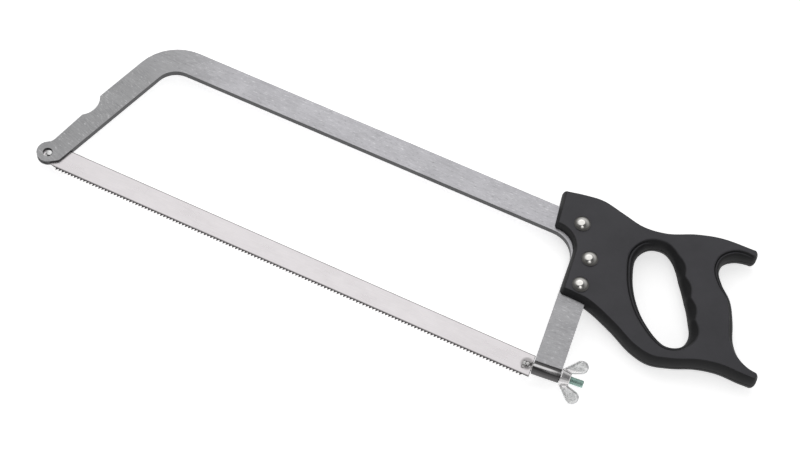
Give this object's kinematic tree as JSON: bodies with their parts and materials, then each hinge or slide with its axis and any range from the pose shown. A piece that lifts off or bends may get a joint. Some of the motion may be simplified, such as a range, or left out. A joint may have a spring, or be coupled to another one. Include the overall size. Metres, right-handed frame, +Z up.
{
  "type": "butcher saw",
  "caption": "Bow-framed butcher saw: bent flat-bar frame, toothed bone blade on cross pins, wing-nut tension rod and a riveted moulded pistol-style handle with a closed hand hole.",
  "frame": {"origin": "middle of the footprint of the saw lying on its side, on the surface it lies on", "axes": "+X along the blade and top bar towards the handle, +Y from the blade to the top bar, +Z up through the thickness"},
  "size_m": [0.6808, 0.2114, 0.0296],
  "materials": {
    "bar_steel": "brushed, with fine marks along the bar",
    "blade_steel": "bright polished",
    "pin_steel": "bright",
    "barrel_steel": "dark turned steel",
    "rod_steel": "zinc plated, slightly green",
    "nut_steel": "zinc plated casting",
    "handle_plastic": "satin black moulding",
    "rivet_metal": "polished nickel"
  },
  "bodies": {
    "frame": {"bow_frame": "bar_steel", "tension_barrel": "barrel_steel", "handle_half_front": "handle_plastic", "handle_half_back": "handle_plastic", "rivet_cap_1": "rivet_metal", "rivet_cap_2": "rivet_metal", "rivet_cap_3": "rivet_metal", "rivet_post_1": "rivet_metal", "rivet_post_2": "rivet_metal", "rivet_post_3": "rivet_metal"},
    "blade": {"blade": "blade_steel", "blade_front_pin": "pin_steel", "blade_rear_pin": "pin_steel"},
    "rod": {"tension_rod": "rod_steel"},
    "nut": {"wing_nut": "nut_steel"}
  },
  "joints": [
    {"name": "blade_swing", "type": "hinge", "parent": "frame", "child": "blade", "pos_m": [-0.32834, -0.08833, 0.0148], "axis": [0, 0, -1], "range_deg": [0, 100]},
    {"name": "wing_nut_spin", "type": "hinge", "parent": "frame", "child": "nut", "pos_m": [0.15126, -0.08933, 0.0148], "axis": [0.996, 0.0894, 0], "range_deg": [0, 720]},
    {"name": "tension_rod_slide", "type": "slide", "parent": "frame", "child": "rod", "axis": [-0.996, -0.0894, 0], "range_m": [0, 0.002]}
  ],
  "couplings": [
    {"joint": "tension_rod_slide", "follows": "wing_nut_spin", "m_per_rad": 0.00015915}
  ]
}
